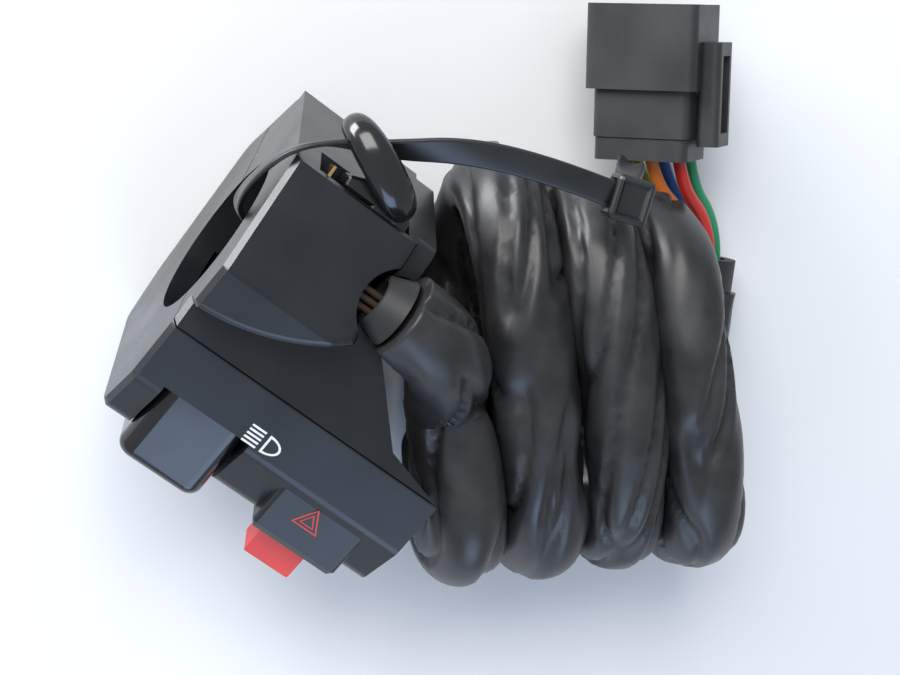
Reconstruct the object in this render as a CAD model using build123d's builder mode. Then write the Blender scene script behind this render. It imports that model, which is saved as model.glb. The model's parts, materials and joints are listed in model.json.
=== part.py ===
from build123d import *
from math import cos, pi, radians, sin
import os

os.makedirs("parts", exist_ok=True)

# Left-hand handlebar switch with its loom folded into a hank beside it.
# Millimetres. The origin is on the handlebar's axis. +X runs inboard along
# the bar, away from the grip, +Y runs forward, away from the rider, +Z is up.

# Handlebar and clamp
bar_d = 22.2
bore_clear = 0.05
bore_r = bar_d / 2 + bore_clear
overrun = 5.0
relief = 0.8

# Gaps between pieces
seam_gap = 0.2
fit_gap = 0.3
snug_gap = 0.1
pin_gap = 0.05

# Housing, along the bar
grip_end = 20.0
clamp_len = 21.5
body_len = 41.0
clamp_end = clamp_len - grip_end
body_end = body_len - grip_end

# Housing, across the bar
rider_lean = 19.0
rider_top_y = 25.5
rider_top_z = 4.5
rider_height = 26.0
shoulder_y = 19.5
shoulder_z = 10.2
seam_y = 11.5
seam_z = 12.5
deck_y = 14.2
foot_z = 22.5
foot_rear_y = 9.0
foot_front_y = 12.0
nose_y = 21.8
nose_z = 10.0
brow_y = 13.5
brow_z = 14.8
crest_y = 2.0
crest_z = 18.4
wall = 2.0
edge_round = 2.4
corner_round = 4.5

lean_c = cos(radians(rider_lean))
lean_s = sin(radians(rider_lean))
rider_reach = rider_top_y * lean_c - rider_top_z * lean_s
rider_foot_y = rider_top_y - rider_height * lean_s
rider_foot_z = rider_height * lean_c - rider_top_z

# Working planes: the rider's face, and the seam between the halves
rider = Plane(
    origin=(0, -rider_reach * lean_c, -rider_reach * lean_s),
    x_dir=(1, 0, 0),
    z_dir=(0, -lean_c, -lean_s),
)
seam = Plane(origin=(0, 0, 0), x_dir=(1, 0, 0), z_dir=(0, seam_z, seam_y))
rider_axis = Axis(origin=(0, 0, 0), direction=(0, -lean_c, -lean_s))
seam_c = seam.z_dir.Y
seam_s = seam.z_dir.Z


def save(piece, name):
    piece.part.label = name
    export_step(piece.part, "parts/" + name + ".step")


# Raised block over the bar, in front of the seam
block_end = clamp_end - 2.9
block_rear_y = 8.0
block_mid_x = -11.0
block_mid_y = 6.4
block_tail_y = 1.0
block_top_round = 1.2
end_chamfer = 0.7

# Hazard block at the inboard end of the rider's face
hazard_x0 = body_end - 17.2
hazard_x1 = body_end - 4.2
hazard_rise = 0.9
hazard_foot_w = -1.5
hazard_top_w = 15.4
hazard_depth = 9.0
hazard_taper = 35
hazard_mid_x = (hazard_x0 + hazard_x1) / 2
hazard_mid_w = (hazard_foot_w + hazard_top_w) / 2

# Outlet of the loom, beside the block
outlet_x = clamp_end
outlet_y = 5.3
outlet_z = 16.2
outlet_r = 5.8
loom_d = 10.4
loom_r = loom_d / 2
loom_slot_r = loom_r + fit_gap

# Outer shape of both halves together
inboard_step_y = 2.0
inboard_mid_x = 12.0
inboard_mid_y = 9.0
inboard_rear_y = 11.5
outline_low = [
    (-rider_top_y, rider_top_z),
    (-shoulder_y, shoulder_z),
    (-seam_y, seam_z),
    (deck_y, seam_z),
    (nose_y, -nose_z),
    (foot_front_y, -foot_z),
    (-foot_rear_y, -foot_z),
    (-rider_foot_y, -rider_foot_z),
]
rounds_low = [edge_round, edge_round, edge_round, edge_round,
              corner_round, corner_round, corner_round, edge_round]
plan_front_y = nose_y + overrun
plan_rider_y = rider_top_y + overrun
plan_low = [
    (-grip_end, -plan_rider_y),
    (-grip_end, plan_front_y),
    (clamp_end, plan_front_y),
    (clamp_end, inboard_step_y),
    (inboard_mid_x, -inboard_mid_y),
    (body_end, -inboard_rear_y),
    (body_end, -plan_rider_y),
]

with BuildPart() as shell:
    with BuildSketch(Plane.YZ.offset(-grip_end)):
        with BuildLine():
            FilletPolyline(*outline_low, radius=rounds_low, close=True)
        make_face()
    extrude(amount=body_len)
    with BuildSketch(Plane.XY.offset(-foot_z - overrun)):
        with BuildLine():
            Polyline(*plan_low, close=True)
        make_face()
    extrude(amount=2 * foot_z + 2 * overrun, mode=Mode.INTERSECT)
    grip_face = shell.faces().sort_by(Axis.X)[0]
    chamfer(grip_face.edges(), length=end_chamfer)

block_plan = [
    (-grip_end, -block_rear_y),
    (block_mid_x, -block_mid_y),
    (block_end, -block_tail_y),
    (block_end, plan_front_y),
    (-grip_end, plan_front_y),
]
block_side_y = block_rear_y + fit_gap
block_shoulder_z = crest_z - crest_y
block_outline = [
    (-block_side_y, 0),
    (-block_side_y, block_shoulder_z),
    (-crest_y, crest_z),
    (brow_y, brow_z),
    (nose_y, -nose_z),
    (0, -nose_z),
]

with BuildPart() as block:
    with BuildSketch(Plane.YZ.offset(-grip_end)):
        with BuildLine():
            Polyline(*block_outline, close=True)
        make_face()
    extrude(amount=grip_end + block_end)
    with BuildSketch(Plane.XY.offset(-foot_z)):
        with BuildLine():
            ThreePointArc(block_plan[0], block_plan[1], block_plan[2])
            Polyline(*block_plan[2:], block_plan[0])
        make_face()
    extrude(amount=2 * foot_z, mode=Mode.INTERSECT)
    block_top = block.edges().filter_by(lambda e: e.center().Z > seam_z and e.center().X > -grip_end + pin_gap)
    fillet(block_top.filter_by(lambda e: e.center().Y < brow_y), radius=block_top_round)
    chamfer(block.faces().sort_by(Axis.X)[0].edges().filter_by(lambda e: e.center().Z > seam_z), length=end_chamfer)

# Both halves as one block, before they are parted
with BuildPart() as envelope:
    add(shell.part)
    add(block.part)
    with BuildSketch(rider.offset(-hazard_depth)):
        with Locations((hazard_mid_x, hazard_mid_w)):
            RectangleRounded(hazard_x1 - hazard_x0, hazard_top_w - hazard_foot_w, end_chamfer)
    extrude(amount=hazard_depth)
    with BuildSketch(rider):
        with Locations((hazard_mid_x, hazard_mid_w)):
            RectangleRounded(hazard_x1 - hazard_x0, hazard_top_w - hazard_foot_w, end_chamfer)
    extrude(amount=hazard_rise, taper=hazard_taper)

# Places of the controls on the rider's face: x along the bar, w up the face
rocker_x = -9.35
rocker_w = 9.6
horn_x = -10.8
horn_w = -5.4
turn_x = 2.0
turn_w = -5.6
button_x = hazard_mid_x
button_w = 8.5

# Room inside the rear half, open to the bar
cavity_depth = 17.0
cavity_x0 = -17.0
cavity_x1 = 10.5
cavity_x2 = body_end - 4
cavity_w0 = -10.5
cavity_w1 = 9.5
cavity_w2 = -2.5
cavity_w3 = 12.3
side_depth = 9.5
post_r = 1.7
post_hole_r = 0.7
post_places = [(-15.4, -9.2), (9.0, 0.6), (1.2, 6.5)]

# Inner plate
plate_depth = 8.6
plate_t = 0.8
plate_back = plate_depth + plate_t
plate_screw_head_r = 1.2
plate_screw_head_h = 0.9
plate_screw_len = 5.0

# Dimmer rocker and its notch
rocker_len = 12.3
rocker_height = 10.0
rocker_depth = 8.0
rocker_rise = 3.2
rocker_round = 2.2
rocker_edge = 1.6
rocker_pin_depth = 6.6
rocker_pin_w = 6.6
rocker_pin_r = 1.0
rocker_pin_y = -(rider_reach - rocker_pin_depth) * lean_c - rocker_pin_w * lean_s
rocker_pin_z = -(rider_reach - rocker_pin_depth) * lean_s + rocker_pin_w * lean_c
notch_len = rocker_len + 2 * fit_gap
notch_foot_w = 3.2
lug_t = 1.3
lug_w0 = 4.6
dimmer_base_w = 0.5
dimmer_base_len = 10.0
dimmer_base_t = 2.4
dimmer_spring_depth = 4.0
dimmer_spring_r = 1.2
dimmer_blade_depth = 6.2
dimmer_blade_w1 = 4.1
dimmer_blade_len = 2.0
dimmer_blade_step = 3.2

# Sprung push buttons
flange_t = 1.0
flange_depth = wall + fit_gap
flange_back = flange_depth + flange_t
base_depth = 5.8
base_back = 8.55
bridge_t = 0.5
pad_t = 0.7
stem_r = 0.8
stem_back = 5.5
spring_pocket_r = 2.0
spring_pocket_back = 8.0
spring_r = 1.4
spring_wire_r = 0.22
spring_pitch = 0.9

# Horn button
horn_r = 3.65
horn_flange_r = 4.2
horn_rise = 2.2
horn_round = 0.6
horn_base_r = 4.1
horn_pad_x = 3.0
horn_pad_r = 0.7

# Turn-signal slide
turn_travel = 3.0
turn_knob_len = 8.4
turn_knob_height = 6.2
turn_knob_rise = 4.4
turn_knob_round = 1.2
turn_stem_len = 4.6
turn_stem_height = 3.0
turn_stem_back = 3.4
turn_slot_len = turn_stem_len + 2 * turn_travel + 2 * fit_gap
turn_slot_height = turn_stem_height + 2 * fit_gap
carrier_len = 9.4
carrier_height = 6.8
carrier_back = 4.3
turn_bridge_len = 5.0
turn_bridge_height = 1.6
turn_bridge_w = turn_w + 1.6
turn_base_depth = 5.0
turn_base_len = 12.0
turn_pad_len = 2.0
turn_pad_step = 3.4
ball_r = 1.0
ball_w = turn_w - 2.0
ball_depth = carrier_back + pin_gap + ball_r

# Hazard push button
button_len = 7.0
button_height = 5.0
button_rise = 5.8
button_round = 0.6
flange_out = 0.6
button_base_len = 8.4
button_base_height = 6.6
button_pad_x = 3.2
button_pad_len = 1.4
button_bridge_len = 8.0
button_bridge_height = 1.2

# Housing screws, square to the seam, from under the rear half
screw_r = 2.0
screw_head_r = 3.7
screw_head_h = 2.6
screw_seat = 8.5
screw_grip = 7.0
screw_arm = 15.0
screw_xs = [-15.5, -4.0]
screw_y = screw_arm * seam_s
screw_z = -screw_arm * seam_c
cross_len = 4.4
cross_w = 0.9
cross_deep = 1.3

# Trigger, its window in the front half and its pivot
window_x0 = -16.6
window_x1 = -2.9
window_y = 10.0
window_top_z = 13.6
window_z = 7.4
pivot_x = -5.4
pivot_y = 12.7
pivot_r = 1.25
pivot_deep = 4.0
trigger_z0 = 8.2
trigger_z1 = 13.2
trigger_plan = [(-3.4, 11.2), (-3.4, 15.0), (-8.0, 17.4), (-13.4, 19.6), (-15.4, 18.6),
                (-13.2, 16.0), (-13.0, 14.0), (-8.8, 14.0), (-8.4, 11.2)]
loop_at = (-10.8, 18.3, 13.0)
loop_dir = (0.91, -0.415, 0)
loop_reach = 7.4
loop_rise = 4.6
loop_bar = 2.5
loop_t = 3.0
loop_round = 0.6
trigger_spring_x = -10.8
trigger_spring_z = 10.8
trigger_seat_y = 14.0
trigger_base_x = -15.0
trigger_base_len = 2.2
trigger_base_y1 = 13.0
trigger_base_z0 = 8.0
trigger_base_z1 = 13.3
trigger_blade_y1 = 15.4
trigger_blade_t = 0.4
trigger_blade_h = 2.6

# Channel for the wires over the bar, and the way out to the grommet
channel_x0 = -15.2
channel_x1 = -11.0
channel_r0 = 11.9
channel_r1 = 13.8
channel_span = [(-16.0, 3.0), (-16.0, 20.0), (3.0, 20.0), (3.0, 9.0), (-6.0, 5.0)]
channel_head = [(-2.0, 11.9), (-2.0, 14.0), (2.5, 15.9), (6.4, 15.7), (6.4, 12.7)]
passage_y = 4.6
passage_z = 14.4
passage_r = 1.75
inner_wire_r = 0.45
inner_wire_step = 1.1
inner_wire_x = -14.2
inner_wire_y = 5.7
inner_wire_end = clamp_end - 2.3
inner_wire_bend = 2.0
inner_wire_rise = [(-12.9, -2.0), (-12.4, 3.6), (-9.3, 8.9), (-4.0, 12.3), (1.0, 13.2)]
grommet_x0 = clamp_end - 3.7
grommet_x1 = clamp_end - 0.5
grommet_r0 = 3.4
grommet_r1 = 4.6
grommet_bore = 2.6
grommet_z = 15.6


# Solids that are added or cut more than once
with BuildPart() as bar_space:
    with BuildSketch(Plane.YZ.offset(-grip_end - overrun)):
        Circle(bore_r)
    extrude(amount=body_len + 2 * overrun)
    with BuildSketch(Plane.YZ.offset(clamp_end)):
        Circle(bore_r + relief)
    extrude(amount=body_end)

with BuildPart() as wire_channel:
    with BuildSketch(Plane.YZ.offset(channel_x0)):
        Circle(channel_r1)
        Circle(channel_r0, mode=Mode.SUBTRACT)
        with BuildLine():
            Polyline(*channel_span, close=True)
        make_face(mode=Mode.INTERSECT)
    extrude(amount=channel_x1 - channel_x0)
    with BuildSketch(Plane.YZ.offset(channel_x0)):
        with BuildLine():
            Polyline(*channel_head, close=True)
        make_face()
    extrude(amount=channel_x1 - channel_x0)


def screw_plane(x):
    return Plane(origin=(x, screw_y, screw_z), x_dir=(1, 0, 0), z_dir=seam.z_dir)


def rider_box(x, w, length, height, front, back):
    with BuildPart() as piece:
        with BuildSketch(rider.offset(-back)):
            with Locations((x, w)):
                Rectangle(length, height)
        extrude(amount=back - front)
    return piece.part


def rider_disc(x, w, radius, front, back):
    with BuildPart() as piece:
        with BuildSketch(rider.offset(-back)):
            with Locations((x, w)):
                Circle(radius)
        extrude(amount=back - front)
    return piece.part


def coil(plane, radius, wire_r, length, turns):
    with BuildPart() as piece:
        with BuildLine() as path:
            Helix(pitch=length / turns, height=length, radius=radius, center=plane.origin, direction=plane.z_dir)
        with BuildSketch(Plane(origin=path.line @ 0, z_dir=path.line % 0)):
            Circle(wire_r)
        sweep(path=path.line, is_frenet=True)
    return piece.part


# Front half: moulded shell over the bar, with window, outlet and screw holes
with BuildPart() as front_housing:
    add(envelope.part)
    split(bisect_by=seam.offset(seam_gap / 2), keep=Keep.TOP)
    add(bar_space.part, mode=Mode.SUBTRACT)
    add(wire_channel.part, mode=Mode.SUBTRACT)
    with BuildSketch(Plane.XY.offset(window_z)):
        with Locations(((window_x0 + window_x1) / 2, window_y + nose_y / 2)):
            Rectangle(window_x1 - window_x0, nose_y)
    extrude(amount=window_top_z - window_z, mode=Mode.SUBTRACT)
    with BuildSketch(Plane.XY.offset(window_z)):
        with Locations((pivot_x, pivot_y)):
            Circle(pivot_r + pin_gap)
    extrude(amount=-pivot_deep, mode=Mode.SUBTRACT)
    with Locations((outlet_x, outlet_y, outlet_z)):
        Sphere(outlet_r, mode=Mode.SUBTRACT)
    with BuildSketch(Plane.YZ.offset(outlet_x)):
        with Locations((outlet_y, outlet_z)):
            Circle(loom_slot_r)
    extrude(amount=body_end, mode=Mode.SUBTRACT)
    with BuildSketch(Plane.YZ.offset(channel_x0)):
        with Locations((passage_y, passage_z)):
            Circle(passage_r)
    extrude(amount=outlet_x - channel_x0, mode=Mode.SUBTRACT)
    for x in screw_xs:
        with BuildSketch(screw_plane(x)):
            Circle(screw_r + pin_gap)
        extrude(amount=screw_grip + fit_gap, both=True, mode=Mode.SUBTRACT)
save(front_housing, "front_housing")

# Rear half: open-backed shell that holds the switches on the rider's side
with BuildPart() as rear_housing:
    add(envelope.part)
    split(bisect_by=seam.offset(-seam_gap / 2), keep=Keep.BOTTOM)
    add(bar_space.part, mode=Mode.SUBTRACT)
    add(wire_channel.part, mode=Mode.SUBTRACT)
    add(rider_box((cavity_x0 + cavity_x1) / 2, (cavity_w0 + cavity_w1) / 2,
                  cavity_x1 - cavity_x0, cavity_w1 - cavity_w0, wall, cavity_depth), mode=Mode.SUBTRACT)
    add(rider_box((hazard_x0 + fit_gap + cavity_x2) / 2, (cavity_w2 + cavity_w3) / 2,
                  cavity_x2 - hazard_x0 - fit_gap, cavity_w3 - cavity_w2, wall, side_depth), mode=Mode.SUBTRACT)
    for x, w in post_places:
        add(rider_disc(x, w, post_r, wall, plate_depth))
    for side in (-1, 1):
        add(rider_box(rocker_x + side * (notch_len + lug_t) / 2, (lug_w0 + cavity_w1) / 2,
                      lug_t, cavity_w1 - lug_w0, wall, plate_depth))
    for x, w in post_places:
        add(rider_disc(x, w, post_hole_r + pin_gap, plate_back - plate_screw_len, plate_back), mode=Mode.SUBTRACT)
    add(rider_box(rocker_x, notch_foot_w + rocker_height, notch_len, 2 * rocker_height,
                  -overrun, plate_depth), mode=Mode.SUBTRACT)
    with BuildSketch(Plane.YZ.offset(rocker_x - notch_len / 2 - 2 * lug_t)):
        with Locations((rocker_pin_y, rocker_pin_z)):
            Circle(rocker_pin_r + pin_gap)
    extrude(amount=notch_len + 4 * lug_t, mode=Mode.SUBTRACT)
    add(rider_disc(horn_x, horn_w, horn_r + fit_gap, -overrun, 2 * wall), mode=Mode.SUBTRACT)
    with BuildSketch(rider.offset(-2 * wall)):
        with Locations((turn_x, turn_w)):
            RectangleRounded(turn_slot_len, turn_slot_height, end_chamfer)
        with Locations((button_x, button_w)):
            RectangleRounded(button_len + 2 * fit_gap, button_height + 2 * fit_gap, end_chamfer)
    extrude(amount=2 * wall + overrun, mode=Mode.SUBTRACT)
    for x in screw_xs:
        with BuildSketch(screw_plane(x)):
            Circle(screw_r + fit_gap)
        extrude(amount=-screw_arm - overrun, mode=Mode.SUBTRACT)
        with BuildSketch(screw_plane(x).offset(-screw_seat)):
            Circle(screw_head_r + fit_gap)
        extrude(amount=-screw_arm, mode=Mode.SUBTRACT)
save(rear_housing, "rear_housing")

# Two cross-head screws that draw the halves round the bar
with BuildPart() as housing_screws:
    for x in screw_xs:
        with BuildSketch(screw_plane(x).offset(-screw_seat)):
            Circle(screw_head_r)
        extrude(amount=-screw_head_h)
        with BuildSketch(screw_plane(x).offset(-screw_seat)):
            Circle(screw_r)
        extrude(amount=screw_seat + screw_grip)
        with BuildSketch(screw_plane(x).offset(-screw_seat - screw_head_h)):
            Rectangle(cross_len, cross_w)
            Rectangle(cross_w, cross_len)
        extrude(amount=cross_deep, mode=Mode.SUBTRACT)
save(housing_screws, "housing_screws")

# Plate that closes the room behind the switches
with BuildPart() as inner_plate:
    add(rider_box((cavity_x0 + cavity_x1) / 2, (cavity_w0 + cavity_w1) / 2,
                  cavity_x1 - cavity_x0 - 2 * fit_gap, cavity_w1 - cavity_w0 - 2 * fit_gap, plate_depth, plate_back))
    add(rider_box((hazard_x0 + fit_gap + cavity_x2) / 2, (cavity_w2 + cavity_w3) / 2,
                  cavity_x2 - hazard_x0 - fit_gap - 2 * fit_gap, cavity_w3 - cavity_w2 - 2 * fit_gap,
                  plate_depth, plate_back - snug_gap))
    for x, w in post_places:
        add(rider_disc(x, w, post_hole_r + snug_gap, plate_depth, plate_back), mode=Mode.SUBTRACT)
save(inner_plate, "inner_plate")

with BuildPart() as plate_screws:
    for x, w in post_places:
        add(rider_disc(x, w, plate_screw_head_r, plate_back, plate_back + plate_screw_head_h))
        add(rider_disc(x, w, post_hole_r, plate_back + snug_gap - plate_screw_len, plate_back))
save(plate_screws, "plate_screws")

# Dimmer rocker on its pin, with detent spring and contacts
with BuildPart() as dimmer_rocker:
    add(rider_box(rocker_x, rocker_w, rocker_len, rocker_height, -rocker_rise, rocker_depth))
    rocker_face = dimmer_rocker.faces().sort_by(rider_axis)[-1]
    fillet(dimmer_rocker.edges().filter_by(rider_axis), radius=rocker_round)
    rocker_face = dimmer_rocker.faces().sort_by(rider_axis)[-1]
    fillet(rocker_face.edges(), radius=rocker_edge)
    with BuildSketch(Plane.YZ.offset(rocker_x - rocker_len)):
        with Locations((rocker_pin_y, rocker_pin_z)):
            Circle(rocker_pin_r + pin_gap)
    extrude(amount=2 * rocker_len, mode=Mode.SUBTRACT)
save(dimmer_rocker, "dimmer_rocker")

with BuildPart() as dimmer_pin:
    with BuildSketch(Plane.YZ.offset(rocker_x - notch_len / 2 - lug_t)):
        with Locations((rocker_pin_y, rocker_pin_z)):
            Circle(rocker_pin_r)
    extrude(amount=notch_len + 2 * lug_t)
save(dimmer_pin, "dimmer_pin")

dimmer_base_top = dimmer_base_w + dimmer_base_t / 2
rocker_low_w = rocker_w - rocker_height / 2
with BuildPart() as dimmer_contact_base:
    add(rider_box(rocker_x, dimmer_base_w, dimmer_base_len, dimmer_base_t, flange_depth, base_back))
save(dimmer_contact_base, "dimmer_contact_base")

with BuildPart() as dimmer_contacts:
    for step in (-dimmer_blade_step, dimmer_blade_step):
        add(rider_box(rocker_x + step, (dimmer_base_top + dimmer_blade_w1) / 2, dimmer_blade_len,
                      dimmer_blade_w1 - dimmer_base_top, dimmer_blade_depth, dimmer_blade_depth + bridge_t))
save(dimmer_contacts, "dimmer_contacts")

dimmer_spring_at = rider.offset(-dimmer_spring_depth)
dimmer_spring_low = dimmer_spring_at.from_local_coords((rocker_x, dimmer_base_top + spring_wire_r + pin_gap, 0))
dimmer_spring_len = rocker_low_w - dimmer_base_top - 2 * spring_wire_r - 2 * fit_gap
with BuildPart() as dimmer_spring:
    add(coil(Plane(origin=dimmer_spring_low, x_dir=(1, 0, 0), z_dir=rider.y_dir),
             dimmer_spring_r, spring_wire_r, dimmer_spring_len, round(dimmer_spring_len / spring_pitch)))
save(dimmer_spring, "dimmer_spring")

# Horn button, its spring, moving bridge, contact base and contact pads
button_spring_len = spring_pocket_back - flange_back - bridge_t - 2 * spring_wire_r - 2 * pin_gap
button_spring_depth = spring_pocket_back - spring_wire_r - pin_gap


def button_spring(x, w):
    start = rider.offset(-button_spring_depth).from_local_coords((x, w, 0))
    return coil(Plane(origin=start, x_dir=(1, 0, 0), z_dir=rider.z_dir),
                spring_r, spring_wire_r, button_spring_len, round(button_spring_len / spring_pitch))


with BuildPart() as horn_button:
    add(rider_disc(horn_x, horn_w, horn_r, -horn_rise, flange_back))
    horn_cap = horn_button.faces().sort_by(rider_axis)[-1]
    fillet(horn_cap.edges(), radius=horn_round)
    add(rider_disc(horn_x, horn_w, horn_flange_r, flange_depth, flange_back))
    add(rider_disc(horn_x, horn_w, stem_r, flange_depth, stem_back))
save(horn_button, "horn_button")

with BuildPart() as horn_contact_bridge:
    add(rider_disc(horn_x, horn_w, horn_base_r, flange_back, flange_back + bridge_t))
    add(rider_disc(horn_x, horn_w, stem_r + pin_gap, 0, base_back), mode=Mode.SUBTRACT)
save(horn_contact_bridge, "horn_contact_bridge")

with BuildPart() as horn_contact_base:
    add(rider_disc(horn_x, horn_w, horn_base_r, base_depth, base_back))
    add(rider_disc(horn_x, horn_w, spring_pocket_r, base_depth, spring_pocket_back), mode=Mode.SUBTRACT)
    for step in (-horn_pad_x, horn_pad_x):
        add(rider_disc(horn_x + step, horn_w, horn_pad_r + pin_gap, base_depth, base_depth + pad_t),
            mode=Mode.SUBTRACT)
save(horn_contact_base, "horn_contact_base")

with BuildPart() as horn_contacts:
    for step in (-horn_pad_x, horn_pad_x):
        add(rider_disc(horn_x + step, horn_w, horn_pad_r, base_depth - bridge_t, base_depth + pad_t))
save(horn_contacts, "horn_contacts")

with BuildPart() as horn_spring:
    add(button_spring(horn_x, horn_w))
save(horn_spring, "horn_spring")

# Turn-signal knob on its carrier, which slides behind the face and clicks over a ball
with BuildPart() as turn_signal_knob:
    add(rider_box(turn_x, turn_w, turn_knob_len, turn_knob_height, -turn_knob_rise, -fit_gap))
    knob_face = turn_signal_knob.faces().sort_by(rider_axis)[-1]
    fillet(knob_face.edges(), radius=turn_knob_round)
    add(rider_box(turn_x, turn_w, turn_stem_len, turn_stem_height, -flange_t, turn_stem_back))
save(turn_signal_knob, "turn_signal_knob")

with BuildPart() as turn_signal_carrier:
    add(rider_box(turn_x, turn_w, carrier_len, carrier_height, flange_depth, carrier_back))
    add(rider_box(turn_x, turn_w, turn_stem_len + 2 * pin_gap, turn_stem_height + 2 * pin_gap,
                  flange_depth, turn_stem_back + pin_gap), mode=Mode.SUBTRACT)
save(turn_signal_carrier, "turn_signal_carrier")

turn_bridge_back = turn_base_depth - pin_gap
with BuildPart() as turn_contact_bridge:
    add(rider_box(turn_x, turn_bridge_w, turn_bridge_len, turn_bridge_height, carrier_back, turn_bridge_back))
save(turn_contact_bridge, "turn_contact_bridge")

with BuildPart() as turn_contact_base:
    add(rider_box(turn_x, turn_w, turn_base_len, carrier_height, turn_base_depth, base_back))
    add(rider_disc(turn_x, ball_w, ball_r + pin_gap, turn_base_depth, spring_pocket_back), mode=Mode.SUBTRACT)
    for step in (-turn_pad_step, 0, turn_pad_step):
        add(rider_box(turn_x + step, turn_bridge_w, turn_pad_len + 2 * pin_gap, turn_pad_len + 2 * pin_gap,
                      turn_base_depth, turn_base_depth + pad_t), mode=Mode.SUBTRACT)
save(turn_contact_base, "turn_contact_base")

with BuildPart() as turn_contacts:
    for step in (-turn_pad_step, 0, turn_pad_step):
        add(rider_box(turn_x + step, turn_bridge_w, turn_pad_len, turn_pad_len,
                      turn_base_depth, turn_base_depth + pad_t))
save(turn_contacts, "turn_contacts")

with BuildPart() as turn_detent_ball:
    with Locations(rider.offset(-ball_depth).from_local_coords((turn_x, ball_w, 0))):
        Sphere(ball_r)
save(turn_detent_ball, "turn_detent_ball")

ball_spring_len = spring_pocket_back - ball_depth - ball_r - 2 * spring_wire_r - 2 * pin_gap
ball_spring_start = rider.offset(-button_spring_depth).from_local_coords((turn_x, ball_w, 0))
with BuildPart() as turn_detent_spring:
    add(coil(Plane(origin=ball_spring_start, x_dir=(1, 0, 0), z_dir=rider.z_dir),
             ball_r - 2 * spring_wire_r, spring_wire_r, ball_spring_len, round(ball_spring_len / spring_pitch)))
save(turn_detent_spring, "turn_detent_spring")

# Hazard push button with its own small switch behind it
with BuildPart() as hazard_button:
    add(rider_box(button_x, button_w, button_len, button_height, -hazard_rise - button_rise, flange_back))
    button_face = hazard_button.faces().sort_by(rider_axis)[-1]
    fillet(button_face.edges(), radius=button_round)
    add(rider_box(button_x, button_w, button_len + 2 * flange_out, button_height + 2 * flange_out,
                  flange_depth, flange_back))
    add(rider_disc(button_x, button_w, stem_r, flange_depth, stem_back))
save(hazard_button, "hazard_button")

with BuildPart() as hazard_contact_bridge:
    add(rider_box(button_x, button_w, button_bridge_len, button_bridge_height, flange_back, flange_back + bridge_t))
    add(rider_disc(button_x, button_w, stem_r + pin_gap, 0, base_back), mode=Mode.SUBTRACT)
save(hazard_contact_bridge, "hazard_contact_bridge")

with BuildPart() as hazard_switch_base:
    add(rider_box(button_x, button_w, button_base_len, button_base_height, base_depth, base_back))
    add(rider_disc(button_x, button_w, spring_pocket_r, base_depth, spring_pocket_back), mode=Mode.SUBTRACT)
    for step in (-button_pad_x, button_pad_x):
        add(rider_box(button_x + step, button_w, button_pad_len + 2 * pin_gap, button_pad_len + 2 * pin_gap,
                      base_depth, base_depth + pad_t), mode=Mode.SUBTRACT)
save(hazard_switch_base, "hazard_switch_base")

with BuildPart() as hazard_contacts:
    for step in (-button_pad_x, button_pad_x):
        add(rider_box(button_x + step, button_w, button_pad_len, button_pad_len, base_depth, base_depth + pad_t))
save(hazard_contacts, "hazard_contacts")

with BuildPart() as hazard_spring:
    add(button_spring(button_x, button_w))
save(hazard_spring, "hazard_spring")

# Passing-light trigger in the front half's window: a foot on the pivot, and an upright loop for the finger
loop_across = (-loop_dir[1], loop_dir[0], 0)
with BuildPart() as finger_loop:
    with BuildSketch(Plane(origin=loop_at, x_dir=loop_dir, z_dir=loop_across)):
        Ellipse(loop_reach, loop_rise)
        Ellipse(loop_reach - loop_bar, loop_rise - loop_bar, mode=Mode.SUBTRACT)
    extrude(amount=loop_t / 2, both=True)
    fillet(finger_loop.edges(), radius=loop_round)

with BuildPart() as passing_trigger:
    with BuildSketch(Plane.XY.offset(trigger_z0)):
        with BuildLine():
            Polyline(*trigger_plan, close=True)
        make_face()
    extrude(amount=trigger_z1 - trigger_z0)
    add(finger_loop.part)
    with BuildSketch(Plane.XY):
        with Locations((pivot_x, pivot_y)):
            Circle(pivot_r + pin_gap)
    extrude(amount=crest_z, mode=Mode.SUBTRACT)
save(passing_trigger, "passing_trigger")

with BuildPart() as trigger_pin:
    with BuildSketch(Plane.XY.offset(window_z - pivot_deep + pin_gap)):
        with Locations((pivot_x, pivot_y)):
            Circle(pivot_r)
    extrude(amount=trigger_z1 - window_z + pivot_deep - pin_gap)
save(trigger_pin, "trigger_pin")

trigger_spring_y = window_y + spring_wire_r + pin_gap
trigger_spring_len = trigger_seat_y - window_y - 2 * spring_wire_r - 2 * pin_gap
with BuildPart() as trigger_spring:
    add(coil(Plane(origin=(trigger_spring_x, trigger_spring_y, trigger_spring_z), x_dir=(1, 0, 0), z_dir=(0, 1, 0)),
             spring_r, spring_wire_r, trigger_spring_len, round(trigger_spring_len / spring_pitch)))
save(trigger_spring, "trigger_spring")

with BuildPart() as trigger_contact_base:
    with BuildSketch(Plane.XY.offset(trigger_base_z0)):
        with Locations((trigger_base_x, (window_y + trigger_base_y1) / 2)):
            Rectangle(trigger_base_len, trigger_base_y1 - window_y)
    extrude(amount=trigger_base_z1 - trigger_base_z0)
save(trigger_contact_base, "trigger_contact_base")

with BuildPart() as trigger_contact_blade:
    with BuildSketch(Plane.XY.offset(trigger_spring_z - trigger_blade_h / 2)):
        with Locations((trigger_base_x, (trigger_base_y1 + trigger_blade_y1) / 2)):
            Rectangle(trigger_blade_t, trigger_blade_y1 - trigger_base_y1)
    extrude(amount=trigger_blade_h)
save(trigger_contact_blade, "trigger_contact_blade")

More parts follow.
